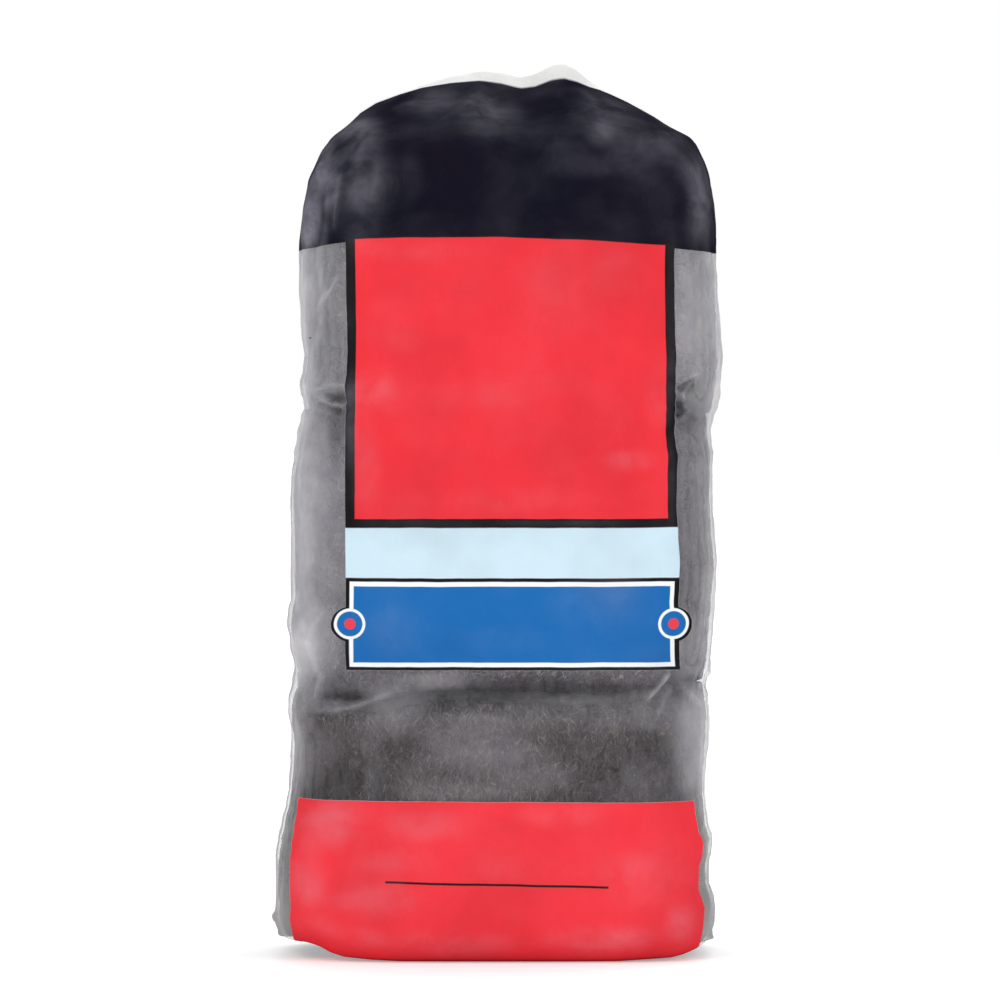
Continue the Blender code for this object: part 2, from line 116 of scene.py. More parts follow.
# Folds of the front: (height in mm, half width in pixels, more or less haze, the fold's course in pixels).
# A positive height is a crease that stands up, a negative one a valley.
# The haze of a fold is painted light: a crest is painted paler as a highlight, a valley clearer and so darker as
# shade.
FOLDS = (
    (0.9, 3, 0.2, ((326, 150), (317, 185), (312, 215), (308, 250))),
    (-0.5, 3, 0, ((331, 158), (322, 195), (317, 235), (314, 262))),
    (0.7, 2.5, 0.16, ((338, 160), (330, 200), (324, 240), (321, 262))),
    (0.5, 2, 0.12, ((345, 150), (338, 190), (334, 232))),
    (0.6, 2.5, 0.16, ((318, 170), (310, 205), (304, 240))),
    (1.3, 5, 0.05, ((389, 109), (410, 103), (429, 96), (441, 85))),
    (-0.8, 4, 0, ((396, 118), (420, 110), (438, 100))),
    (0.9, 3, 0.05, ((582, 85), (590, 95), (596, 104), (612, 116))),
    (0.6, 3.5, 0.02, ((556, 80), (560, 96), (572, 112))),
    (0.8, 4, 0.02, ((486, 84), (470, 100), (452, 118))),
    (0.7, 4, 0, ((521, 90), (520, 112), (526, 136))),
    (0.9, 2.2, 0.2, ((341, 272), (333, 285), (325, 298), (317, 312))),
    (1, 2.2, 0.2, ((317, 243), (321, 270), (324, 296), (320, 330), (315, 370))),
    (-0.4, 3.5, -0.04, ((331, 262), (331, 300), (326, 350))),
    (0.6, 2.6, 0.12, ((309, 270), (307, 310), (310, 352))),
    (1.1, 1.4, 0.26, ((319, 393), (323, 399), (330, 403), (338, 405), (346, 407))),
    (-0.7, 3.2, -0.1, ((320, 392), (330, 396), (338, 399), (347, 401))),
    (0.6, 2.4, 0.12, ((303, 407), (309, 398), (318, 389), (334, 384), (346, 386))),
    (0.5, 2.2, 0.08, ((306, 420), (318, 410), (330, 412), (345, 418))),
    (0.9, 1.6, 0.22, ((677, 384), (688, 378), (699, 372))),
    (-0.8, 4.5, -0.18, ((678, 390), (685, 386), (694, 381))),
    (0.9, 1.6, 0.2, ((699, 377), (690, 385), (682, 394), (684, 403), (687, 411), (683, 418), (678, 424))),
    (-0.8, 3.6, -0.16, ((678, 401), (680, 409), (679, 418))),
    (0.6, 3, 0.08, ((713, 372), (706, 395), (703, 420), (700, 455))),
    (0.5, 3, 0.04, ((692, 430), (694, 480), (691, 540))),
    (0.45, 1.4, 0.2, ((295, 556), (295, 584))),
    (0.45, 1.4, 0.2, ((298, 590), (298, 613))),
    (0.7, 6, 0, ((329, 430), (326, 480), (324, 540), (327, 590))),
    (0.5, 4, 0.04, ((306, 440), (303, 500), (304, 548))),
    (1, 2.2, 0.24, ((326, 607), (314, 624), (308, 643), (315, 662), (321, 679), (318, 692), (313, 704))),
    (0.6, 3.5, 0.06, ((302, 620), (298, 640), (302, 662))),
    (-0.5, 5, -0.06, ((317, 698), (340, 698), (372, 694))),
    (0.6, 2.6, 0.14, ((318, 712), (350, 708), (380, 698), (396, 690))),
    (1, 1.8, 0.28, ((669, 672), (660, 684), (646, 702))),
    (0.8, 1.8, 0.2, ((677, 681), (688, 694), (700, 707))),
    (-0.7, 3, -0.2, ((684, 678), (700, 679))),
    (0.5, 3, 0.08, ((672, 684), (664, 700), (660, 716))),
    (0.5, 4, 0.06, ((300, 712), (304, 745), (302, 790))),
    (0.5, 4, 0.06, ((700, 716), (697, 750), (699, 795))),
    (0.5, 4, 0.06, ((284, 850), (287, 885), (284, 915))),
    (0.5, 4, 0.06, ((704, 840), (703, 880), (707, 915))),
    (0.4, 6, 0.03, ((430, 720), (470, 716), (520, 722))),
    (-0.4, 7, -0.02, ((470, 742), (540, 738), (600, 748))),
    (0.4, 7, 0.02, ((360, 735), (372, 760), (366, 790))),
)

# Milky patches, where the film stands off the wool: (column, row, half width, half height, more or less haze).
# Patches with less haze show more of the dark wool: in the pockets under the puckers and in the groove between the
# tiers this is painted shade.
PATCHES = (
    (322, 515, 30, 110, 0.24), (318, 640, 26, 34, 0.22), (690, 320, 24, 80, 0.12), (325, 310, 20, 60, 0.06),
    (306, 480, 12, 95, 0.22), (304, 590, 13, 70, 0.22), (305, 300, 12, 62, 0.32), (311, 372, 9, 22, 0.18),
    (304, 655, 16, 45, 0.3), (300, 740, 16, 45, 0.12), (285, 870, 12, 60, 0.12), (708, 870, 10, 60, 0.26),
    (694, 745, 18, 60, 0.38), (700, 300, 22, 70, 0.1), (690, 640, 18, 24, 0.15), (711, 480, 8, 110, -0.02),
    (325, 705, 20, 9, 0.12), (430, 680, 35, 9, 0.16), (395, 712, 34, 26, 0.13), (380, 690, 40, 6, 0.06),
    (480, 745, 55, 28, 0.11), (565, 684, 90, 12, -0.07), (560, 712, 50, 16, 0.04), (620, 716, 36, 18, 0.06),
    (460, 792, 60, 10, 0.07), (545, 775, 40, 12, 0.08), (660, 712, 26, 22, 0.12), (640, 770, 20, 20, 0.08),
    (350, 770, 14, 34, -0.06), (610, 762, 45, 22, -0.05), (400, 745, 14, 16, -0.05), (640, 736, 26, 10, -0.06),
    (500, 694, 70, 7, -0.06), (338, 397, 13, 5, -0.16), (338, 411, 10, 5, -0.1), (686, 384, 9, 9, -0.16),
    (681, 409, 6, 12, -0.16), (690, 678, 10, 4, -0.1), (334, 520, 9, 90, -0.04), (338, 440, 10, 36, -0.12),
    (692, 440, 10, 30, -0.05), (336, 330, 10, 50, -0.03), (700, 795, 12, 10, -0.08), (345, 697, 30, 9, -0.03),
    (300, 800, 12, 12, -0.06), (560, 800, 60, 8, -0.03),
)

# Painted sheen on the ink: pale, smoky patches that stand for soft reflections of the lamps, as above.
INK_SHEEN_PATCHES = (
    (362, 172, 21, 62, 0.098), (330, 178, 11, 36, 0.16), (312, 205, 10, 38, 0.24), (352, 128, 18, 14, 0.07),
    (306, 230, 5, 28, 0.18), (450, 106, 34, 16, 0.055), (492, 112, 26, 22, 0.055), (432, 93, 20, 6, 0.035),
    (412, 172, 10, 24, 0.008), (604, 112, 30, 20, 0.05), (636, 146, 26, 26, 0.04), (672, 140, 14, 26, 0.04),
    (562, 148, 26, 10, 0.018), (588, 166, 40, 12, 0.024), (700, 205, 13, 44, 0.1), (600, 134, 14, 12, 0.04),
    (690, 168, 14, 18, 0.045), (372, 392, 26, 22, 0.065), (366, 470, 14, 50, 0.03), (392, 330, 30, 30, 0.022),
    (632, 460, 26, 10, 0.055), (660, 400, 14, 30, 0.035), (470, 395, 60, 16, 0.02), (560, 300, 40, 40, 0.022),
    (420, 250, 60, 10, 0.02), (620, 270, 30, 20, 0.018), (500, 500, 90, 12, 0.022), (351, 415, 6, 44, 0.045),
    (350, 300, 5, 50, 0.006), (671, 330, 5, 70, 0.02), (671, 480, 5, 40, 0.03), (560, 523, 60, 4, 0.025),
    (420, 523, 60, 4, 0.008), (390, 624, 30, 34, 0.03), (600, 600, 50, 26, 0.03), (500, 640, 50, 14, 0.02),
    (330, 826, 34, 24, 0.085), (310, 880, 16, 38, 0.07), (430, 826, 40, 16, 0.045), (560, 815, 40, 12, 0.04),
    (640, 880, 40, 26, 0.055), (600, 940, 50, 14, 0.08), (450, 944, 60, 12, 0.055), (680, 925, 14, 22, 0.07),
    (380, 900, 50, 16, 0.04), (520, 870, 60, 14, 0.022), (360, 940, 30, 10, 0.05), (320, 935, 22, 12, 0.05),
    (400, 862, 40, 12, 0.03),
)

# How far the bottom is lifted across the bag: (across in mm, up in mm).
FOOT_RISE = (
    (-56, 4.2), (-52.5, 3.9), (-50, 4.2), (-46, 4.2), (-43, 3.5), (-40, 1.9), (-36.7, 0.9), (-30, 0.3), (-23, 0),
    (30, 0), (36, 0.3), (43, 0.6), (46, 1.2), (48.5, 2), (50.5, 2.6), (53, 3.2), (56, 3.3),
)

# How far the grooves between the tiers lie up or down at the front: (across in mm, up in mm), the lower one first.
GROOVES = (
    ((-50, -4), (-36, -4.4), (-20, -2.8), (0, -2.2), (20, -2.4), (36, -1), (45, 0.6), (50, 0.6)),
    ((-50, 1.8), (-40, 2.4), (-20, 0.5), (0, 0), (20, 0.6), (36, 2.6), (43, 2.4), (50, -1.6)),
)

# Darker and lighter places of the wool: (column, row, half width, half height, change of brightness).
# The darkest blots are painted shade, in the groove between the coarse and medium tiers and in the pockets under the
# puckers.
BLOTS = (
    (336, 785, 16, 20, -0.45), (372, 778, 34, 24, -0.5), (640, 775, 60, 26, -0.4), (405, 740, 26, 16, -0.35),
    (660, 745, 24, 22, -0.3), (480, 752, 66, 30, 0.04), (560, 735, 40, 20, 0.12), (590, 795, 40, 10, -0.3),
    (500, 690, 110, 12, -0.5), (600, 700, 60, 14, -0.5), (335, 697, 34, 12, -0.3), (430, 705, 40, 10, -0.25),
    (690, 790, 22, 14, -0.45), (350, 720, 20, 16, 0.15), (455, 785, 50, 12, 0.2), (300, 795, 14, 16, -0.3),
    (333, 500, 12, 70, -0.14), (338, 430, 14, 20, -0.3), (690, 520, 16, 80, -0.12), (684, 405, 14, 20, -0.4),
    (339, 398, 14, 6, -0.5), (340, 411, 10, 6, -0.5), (690, 384, 14, 10, -0.45), (681, 410, 7, 10, -0.5),
    (336, 320, 9, 60, -0.14), (316, 350, 14, 34, 0.1), (290, 900, 12, 34, -0.25),
)

# The print tilts and sags towards the top: (column, pixels down at the header's lower edge).
HEADER_SAG = (
    (260, 14), (309, 9), (330, 4.6), (346, 2.5), (400, 0.4), (500, 0), (590, 3.2), (674, 9), (716, 13.6),
    (760, 14),
)

# Rows and columns of the print: the edges of header, red panel, frame and lower band.
HEADER_ROW, PANEL_ROW, FRAME_ROW = 240, 519, 700
FRAME_L, FRAME_R = 345, 678
BAND_L, BAND_R, BAND_ROW = 296.5, 696, 802

# The ears at the left and the right side: (height in mm, how far they stick out in mm).
EAR_L = ((0, 2.4), (2, 1.1), (4.3, 0.9), (6, 1.5), (8, 0.4), (11, 0))
EAR_R = ((0, 3), (1.5, 1.4), (3, 0.6), (5, 0.3), (8, 0.2), (11, 0))


def along_line(points, at):
    """Straight runs between the points."""
    xs, ys = zip(*points)
    return np.interp(at, xs, ys)


def wave_line(points, at):
    """Eased runs between the points, which are its peaks and dips."""
    xs, ys = (np.array(v, float) for v in zip(*points))
    at = np.clip(at, xs[0], xs[-1])
    i = np.clip(np.searchsorted(xs, at, side="right") - 1, 0, len(xs) - 2)
    f = (at - xs[i]) / (xs[i + 1] - xs[i])
    return ys[i] + (ys[i + 1] - ys[i]) * f * f * (3 - 2 * f)


def smoothstep(lo, hi, x):
    f = np.clip((x - lo) / (hi - lo), 0, 1)
    return f * f * (3 - 2 * f)


def gradient_noise(p, seed):
    """Perlin noise of points (n, 3), about -1 to 1, the same each run."""
    rng = np.random.default_rng(seed)
    table = rng.permutation(512)
    grads = rng.normal(size=(512, 3))
    grads /= np.linalg.norm(grads, axis=1)[:, None]
    base = np.floor(p).astype(int)
    f = p - base
    w = f * f * f * (f * (f * 6 - 15) + 10)
    total = np.zeros(len(p))
    for corner in range(8):
        o = np.array([corner & 1, corner >> 1 & 1, corner >> 2 & 1])
        c = base + o
        h = table[(c[:, 0] + table[(c[:, 1] + table[c[:, 2] & 511]) & 511]) & 511]
        part = np.einsum("ij,ij->i", grads[h], f - o)
        total += part * np.prod(np.where(o, w, 1 - w), axis=1)
    return total * 1.6


def fractal(p, seed, octaves):
    """Noise in several sizes, each half as large and half as strong as the last."""
    out, size = np.zeros(len(p)), 1.0
    for k in range(octaves):
        out += size * gradient_noise(p * 2.0 ** k + 17.3 * k, seed + k)
        size *= 0.5
    return out


def quarter_round(share):
    """How far a quarter circle has drawn in, from 0 to 1, at a share of its length."""
    share = np.clip(share, 0, 1)
    return 1 - np.sqrt(1 - share * share)


def inset(z, foot):
    """How far the section draws in at the foot and at the shoulder."""
    return foot * quarter_round(1 - z / FOOT_H) + SHOULDER * quarter_round((z - TOP + SHOULDER_DROP) / SHOULDER_REACH)


def edge_wave(table, z, side):
    """How far the outline asks the film to stand out at a side, from where even film would lie."""
    rows, cols = np.array(table, float).T
    height = AIM[2] + (500 - rows) * PIXEL
    reach = AIM[0] + (cols - 500) * PIXEL / RIM_NEARER
    even = HALF_W + GROWTH - inset(height, FOOT_SIDE)
    out = side * (reach - SHIFT) - even
    order = np.argsort(height)
    return wave_line(list(zip(height[order], out[order])), z)


def wall(u, v, z, growth):
    """The bag's section at heights z, as in the solid, with the photo's outline."""
    tiers = (z - FLOOR) / PITCH
    side = np.where(u > 0, edge_wave(RIGHT_EDGE, z, 1), edge_wave(LEFT_EDGE, z, -1))
    face = np.where(v > 0, wave_line(BACK_WAVE, tiers), wave_line(FRONT_WAVE, tiers))
    big = np.maximum(np.abs(u), np.abs(v))
    turned = big / np.maximum((np.abs(u) ** 4 + np.abs(v) ** 4) ** 0.25, 1e-9)
    out = smoothstep(0.70, 1.0, np.abs(u))
    x = SHIFT + (HALF_W + growth - inset(z, FOOT_SIDE)) * u * turned + np.sign(u) * side * out
    y = (HALF_D + growth - inset(z, FOOT_FACE)) * v * turned + face * v * np.abs(v)
    return x, y


def settle(p):
    """Lifts the bag's bottom corners, which the folded seal holds off the floor."""
    p[..., 2] += along_line(FOOT_RISE, p[..., 0]) * np.clip(1 - p[..., 2] / 26, 0, 1) ** 1.5
    return p


def slump(p):
    """Lets the grooves between the tiers of wool wander up and down, and lifts the bottom corners."""
    front = smoothstep(10, -30, p[..., 1])
    flat = p.reshape(-1, 3)
    places = np.stack([flat[:, 0] / 17, flat[:, 1] / 21, np.full(len(flat), 5.0)], 1)
    wander = fractal(places, 53, 2).reshape(front.shape)
    for k, line in enumerate(GROOVES):
        level = FLOOR + (k + 1) * PITCH - PAD_GAP / 2
        near = np.exp(-((p[..., 2] - level) / 14) ** 2)
        p[..., 2] += near * (along_line(line, p[..., 0]) * front + wander * 1.3)
    lean = np.sin(p[..., 0] / 15 + 0.7) + 0.6 * np.sin(p[..., 0] / 9 + p[..., 2] / 37)
    p[..., 1] += 0.9 * lean * (1 - np.clip(p[..., 1] / HALF_D, -1, 1) ** 2)
    return settle(p)


def crowded(lo, hi, count, zones, more):
    """Values from lo to hi, closer to each other inside the zones."""
    fine = np.linspace(lo, hi, 4000)
    weight = np.ones(len(fine))
    for a, b in zones:
        weight += more * ((fine > a) & (fine < b))
    total = np.concatenate([[0], np.cumsum((weight[1:] + weight[:-1]) / 2)])
    return np.interp(np.linspace(0, total[-1], count), total, fine)


def around(front, side, back):
    """Places round the square from the back's middle, by the left side and the front, to the back's middle."""
    half = back // 2
    ahead = crowded(-1, 1, front + 1, ((-1.0, -0.58), (0.60, 1.0)), 2.2)[:-1]
    u = [np.linspace(0, -1, half, endpoint=False), np.full(side, -1.0), ahead]
    v = [np.full(half, 1.0), np.linspace(1, -1, side, endpoint=False), np.full(front, -1.0)]
    u += [np.full(side, 1.0), np.linspace(1, 0, half, endpoint=False)]
    v += [np.linspace(-1, 1, side, endpoint=False), np.full(half, 1.0)]
    return np.concatenate(u), np.concatenate(v)


def film_base():
    """The smooth film as a grid of rows and columns, with each row's kind of place in heights."""
    u, v = around(*FILM_COLUMNS)
    foot = FOOT_H * (1 - np.cos(np.linspace(0, np.pi / 2, FOOT_ROWS)))
    body = crowded(FOOT_H, TOP, WALL_ROWS, ((57, 88), (128, 144)), 1.1)[1:]
    heights = np.concatenate([foot, body])
    rows = []
    for z in heights:
        x, y = wall(u, v, z, GROWTH)
        rows.append(np.stack([x, y, np.full(len(u), z)], 1))
    left, right = x.min(), x.max()
    seat = np.clip(2 * (x - left) / (right - left) - 1, -1, 1)
    seal_x = SEAL_L + (SEAL_R - SEAL_L) * (seat + 1) / 2
    sway = 1.0 + 1.6 * np.sin(np.pi * 2.5 * (seat + 1) / 2) * (1 - seat * seat)
    rise = along_line(ROOF_LINE, seat)
    for share in np.linspace(0, 1, ROOF_ROWS + 1)[1:]:
        gather = np.sin(seat * 19) * 0.9 + np.sin(seat * 31 + 2) * 0.5
        pleat = gather * share ** 2 * (1 - share) * 4 * (1 - seat ** 2)
        rows.append(np.stack([
            x + (seal_x - x) * share,
            y * (1 - share) + v * 0.5 * share + sway * share,
            TOP + rise * share ** 0.75 + pleat,
        ], 1))
    base = rows[-1]
    lift = along_line(FIN_LINE, seat)
    for share in np.linspace(0, 1, FIN_ROWS + 1)[1:]:
        ripple = 0.45 * np.sin(seat * 23 + 1) * share * (1 - seat ** 2)
        rows.append(np.stack([
            base[:, 0],
            base[:, 1] + 2.0 * share + ripple - v * 0.3 * share,
            base[:, 2] + lift * share,
        ], 1))
    kinds = np.concatenate([heights, TOP + np.arange(1.0, ROOF_ROWS + 1), np.full(FIN_ROWS, FIN_MARK)])
    grid = np.array(rows)

    # The bend between wall and roof is eased, most in its middle.
    bend = len(heights) - 1
    for reach in range(11, 0, -1):
        part = grid[bend - reach - 1:bend + reach + 2]
        grid[bend - reach:bend + reach + 1] = (part[:-2] + 2 * part[1:-1] + part[2:]) / 4
    return grid, u, v, kinds


def grid_normals(grid):
    """Outward directions over a grid that closes on itself across its columns."""
    n = np.cross(np.roll(grid, -1, 1) - np.roll(grid, 1, 1), np.gradient(grid, axis=0))
    return n / np.maximum(np.linalg.norm(n, axis=2), 1e-9)[..., None]


def course_distance(px, py, course):
    """Distance in pixels from a course, and how far along it from 0 to 1."""
    best = np.full(px.shape, 1e9)
    place = np.zeros(px.shape)
    count = len(course) - 1
    for k, ((x0, y0), (x1, y1)) in enumerate(zip(course, course[1:])):
        dx, dy = x1 - x0, y1 - y0
        f = np.clip(((px - x0) * dx + (py - y0) * dy) / (dx * dx + dy * dy), 0, 1)
        d = np.hypot(px - x0 - f * dx, py - y0 - f * dy)
        nearer = d < best
        best = np.where(nearer, d, best)
        place = np.where(nearer, (k + f) / count, place)
    return best, place


def blot(px, py, patch):
    """A soft oval patch on the photo: column, row, half width, half height, amount."""
    cx, cy, rx, ry, amount = patch
    return amount * np.exp(-(((px - cx) / rx) ** 2 + ((py - cy) / ry) ** 2) ** 1.5)


class Sheet:
    """The smooth film, with the measures that its folds, haze and print are laid out by."""

    def __init__(self):
        self.grid, self.u, self.v, self.kinds = film_base()
        self.shape = self.grid.shape[:2]
        self.normal = grid_normals(self.grid)
        self.px, self.py = to_photo(self.grid)
        self.facing = np.clip(-self.normal[..., 1] * 3 + 0.6, 0, 1) * smoothstep(5, -14, self.grid[..., 1])
        self.side_on = smoothstep(0.72, 1.0, np.abs(self.normal[..., 0]))
        self.tier = (np.minimum(self.kinds, TOP) - FLOOR) / PITCH
        self.fin = np.broadcast_to((self.kinds == FIN_MARK)[:, None], self.shape)

    def noise(self, sizes, seed, octaves):
        """Noise over the film whose largest waves are about that many millimetres long."""
        places = self.grid.reshape(-1, 3) * [1 / size for size in sizes]
        return fractal(places, seed, octaves).reshape(self.shape)


def straight_print(s):
    """Each point's place on the print in photo pixels: as seen on the front, and by arc length round the sides."""
    front = int(np.argmin(np.where(s.v == -1, np.abs(s.u), 9)))
    wide = np.concatenate([s.grid, s.grid[:, :1]], 1)
    step = np.linalg.norm(np.diff(wide, axis=1), axis=2) * REACH / (REACH - HALF_D) / PIXEL
    seen, _ = to_photo(wide)
    # The rows are evened out up and down many times, so that the print's edges stay straight over the folds.
    step = np.maximum(np.diff(seen, axis=1), 0.42 * step)
    for _ in range(160):
        step[1:-1] = (step[:-2] + 2 * step[1:-1] + step[2:]) / 4
    arc = np.concatenate([np.zeros((len(s.grid), 1)), np.cumsum(step, 1)], 1)
    xp = arc - arc[:, front:front + 1] + seen[:, front:front + 1]
    body = int(np.searchsorted(s.kinds, TOP))
    xp[body:] = xp[body - 1]
    still = np.zeros(len(s.kinds))
    _, row = to_photo(np.stack([still, still - HALF_D - GROWTH, np.minimum(s.kinds, 230)], 1))
    yp = np.broadcast_to(row[:, None], xp.shape)

    # The frame's own edges widen a little from top to bottom.
    rows = (HEADER_ROW, PANEL_ROW, FRAME_ROW)
    left = np.interp(yp, rows, (346.0, FRAME_L, FRAME_L))
    right = np.interp(yp, rows, (674.0, FRAME_R, FRAME_R))
    framed = FRAME_L + (xp - left) / (right - left) * (FRAME_R - FRAME_L)
    blend = smoothstep(FRAME_ROW, 780, yp)
    sag = along_line(HEADER_SAG, xp) * np.clip((PANEL_ROW - yp) / (PANEL_ROW - HEADER_ROW), 0, 1.15)
    tilt = np.where(yp > FRAME_ROW, (xp - 495) * 0.006, 0.0)
    return framed * (1 - blend) + xp * blend, yp - sag - tilt


def mesh_object(name, points, faces, metres=False):
    """A smooth mesh from points and a list of face arrays, each of one face size."""
    mesh = bpy.data.meshes.new(name)
    flat = np.asarray(points, np.float32).reshape(-1, 3) * (1 if metres else MM)
    corners = np.concatenate([f.ravel() for f in faces]).astype(np.int32)
    sizes = np.concatenate([np.full(len(f), f.shape[1]) for f in faces])
    mesh.vertices.add(len(flat))
    mesh.vertices.foreach_set("co", flat.ravel())
    mesh.loops.add(len(corners))
    mesh.loops.foreach_set("vertex_index", corners)
    mesh.polygons.add(len(sizes))
    mesh.polygons.foreach_set("loop_start", (np.cumsum(sizes) - sizes).astype(np.int32))
    mesh.update(calc_edges=True)
    mesh.validate()
    mesh.shade_smooth()
    obj = bpy.data.objects.new(name, mesh)
    bpy.context.scene.collection.objects.link(obj)
    return obj


def grid_faces(rows, cols):
    """Quads of a grid that closes on itself across its columns."""
    r, c = np.meshgrid(np.arange(rows - 1), np.arange(cols), indexing="ij")
    n = (c + 1) % cols
    return np.stack([r * cols + c, r * cols + n, (r + 1) * cols + n, (r + 1) * cols + c], 2).reshape(-1, 4)


def add_point_values(obj, name, values):
    layer = obj.data.attributes.new(name, "FLOAT", "POINT")
    layer.data.foreach_set("value", np.asarray(values, np.float32).ravel())


def film_lift(s):
    """How far the slack film stands off its smooth form, and the haze of its creases: painted highlights on their
    crests and painted shade in their valleys.
    """
    roof = (s.kinds > TOP)[:, None]

    # Slow swells, then short crumples that gather at the sides and between the tiers.
    seam = np.exp(-(np.abs(s.tier - 1.02) / 0.10) ** 2) + np.exp(-(np.abs(s.tier - 2.05) / 0.10) ** 2)
    amount = 0.08 + 0.20 * s.side_on + 0.22 * seam[:, None] + 0.25 * roof
    amount = np.where((s.v > 0) & (np.abs(s.u) < 1), amount + 0.2, amount)
    ridges = np.abs(s.noise((14, 12, 30), 23, 2))
    sharp = (0.35 - ridges).clip(0) * 1.3 * (0.15 + 0.7 * s.side_on + 0.5 * (s.v > 0.99))
    lift = s.noise((26, 30, 34), 3, 2) * 0.55 + s.noise((9, 9, 16), 11, 3) * amount + sharp
    crease_haze_and_light = np.zeros(s.shape)
    for height, width, mist, course in FOLDS:
        d, place = course_distance(s.px, s.py, course)
        taper = np.clip(np.minimum(place, 1 - place) * 5, 0.0, 1)
        profile = np.exp(-(d / width) ** 1.5)
        lift += height * profile * (0.25 + 0.75 * taper) * s.facing
        crease_haze_and_light += mist * profile * taper * s.facing
    calm = np.where(roof, 0.6 * (1 - (s.kinds[:, None] - TOP) / ROOF_ROWS).clip(0.15, 1), 1)
    lift = np.where(s.fin, 0, lift) * smoothstep(0, 7, s.kinds)[:, None] * calm
    lift = np.maximum(lift, -0.5 + 0.35 * s.side_on)
    return np.where(lift > 1.6, 1.6 + (lift - 1.6) * 0.3, lift), crease_haze_and_light


def film_values(s, lift, crease_haze_and_light, ear, reach):
    """Haze of the clear film, painted sheen on its ink, and the denser grey film at its creased sides, partly painted
    shade.
    """
    haze = 0.04 + 0.075 * np.clip(s.tier - 0.3, 0, 2.0)[:, None] + 0.06 * np.clip(lift, -0.8, 1.6) + crease_haze_and_light
    haze += 0.10 * s.side_on + 0.04 * s.noise((7, 7, 9), 31, 3)
    # The ink is painted paler where the film is raised or creased, as painted sheen.
    ink_sheen = 0.002 + 0.008 * np.clip(lift, -0.3, 1.4) + 0.5 * crease_haze_and_light.clip(0)
    ink_sheen += 0.010 * s.noise((13, 13, 11), 41, 3)
    for patch in PATCHES:
        haze += blot(s.px, s.py, patch) * s.facing
    for patch in INK_SHEEN_PATCHES:
        ink_sheen += blot(s.px, s.py, patch) * s.facing
    # The sides and the back get a faint painted sheen as well.
    ink_sheen += (1 - s.facing) * 0.02 * (1 + s.noise((16, 16, 18), 47, 2)).clip(0)
    haze = np.where((s.kinds < TOP)[:, None], haze, np.where(s.fin, 0.86, haze + 0.1))
    haze += ear * smoothstep(0.2, 2.0, reach) * 0.35
    # The denser film of the folded sides and the ears, strongest towards the bottom, carries a painted shade as well.
    low = np.clip(1 - s.kinds / 34, 0, 1)[:, None]
    murk_and_shade = smoothstep(0.55, 0.95, np.abs(s.normal[..., 0])) * (0.15 + 0.85 * low)
    murk_and_shade = (murk_and_shade + ear * smoothstep(0.1, 0.9, reach)).clip(0, 1)
    murk_and_shade = np.where(s.kinds[:, None] > TOP, 0, murk_and_shade)
    return haze.clip(0.03, 0.95), ink_sheen.clip(0.0, 0.2), murk_and_shade


def make_film():
    s = Sheet()
    rows, cols = s.shape
    lift, crease_haze_and_light = film_lift(s)

    # Ears: where the folded bottom seal ends, in the middle of each side.
    ear = np.exp(-(s.grid[..., 1] / 2.2) ** 2) * (np.abs(s.u) == 1)
    reach = np.where(s.u > 0, along_line(EAR_R, s.kinds)[:, None], along_line(EAR_L, s.kinds)[:, None])
    points = s.grid + s.normal * lift[..., None]
    points[..., 0] += np.sign(s.u) * ear * reach

    # The foot closes with rings that shrink to the middle of the bottom.
    hem = points[0] * [1, 1, 0]
    centre = hem.mean(0)
    rings = np.array([hem + (centre - hem) * share for share in np.linspace(1, 0, RING_ROWS + 2)[1:-1]])
    full = settle(np.concatenate([rings, points]))
    full[..., 2] = np.maximum(full[..., 2], CLEARANCE)
    c = np.arange(cols)
    cap = np.stack([np.full(cols, full.size // 3), (c + 1) % cols, c], 1)
    verts = np.vstack([full.reshape(-1, 3), [[centre[0], centre[1], CLEARANCE]]])
    obj = mesh_object("film", verts, [grid_faces(RING_ROWS + rows, cols), cap])

    def with_rings(values):
        return np.concatenate([np.broadcast_to(values[0], (RING_ROWS, values.shape[1])), values])

    haze, ink_sheen, murk_and_shade = film_values(s, lift, crease_haze_and_light, ear, reach)
    for name, values, middle in (("haze", haze, 0.3), ("ink_sheen", ink_sheen, 0.03), ("murk_and_shade", murk_and_shade, 0.5), ("fin", s.fin, 0.0)):
        add_point_values(obj, name, np.append(with_rings(values).ravel(), middle))

    # Print coordinates lie on the faces' corners, because they jump where the sheet meets itself at the back.
    at = np.stack([with_rings(values) for values in straight_print(s)], 2)
    at[:, -1, 1] = at[:, 0, 1]
    quads = np.stack([at[:-1, :-1], at[:-1, 1:], at[1:, 1:], at[1:, :-1]], 2)
    tris = np.stack([at[0, :-1], at[0, 1:], at[0, :-1]], 1)
    tris[..., 1] = at[0, 0, 1]
    places = np.concatenate([quads.reshape(-1, 2), tris.reshape(-1, 2)])
    layer = obj.data.uv_layers.new(name="print")
    layer.data.foreach_set("uv", (places / 1000).astype(np.float32).ravel())
    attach(obj, "root")
    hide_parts("bag_film")
    return obj


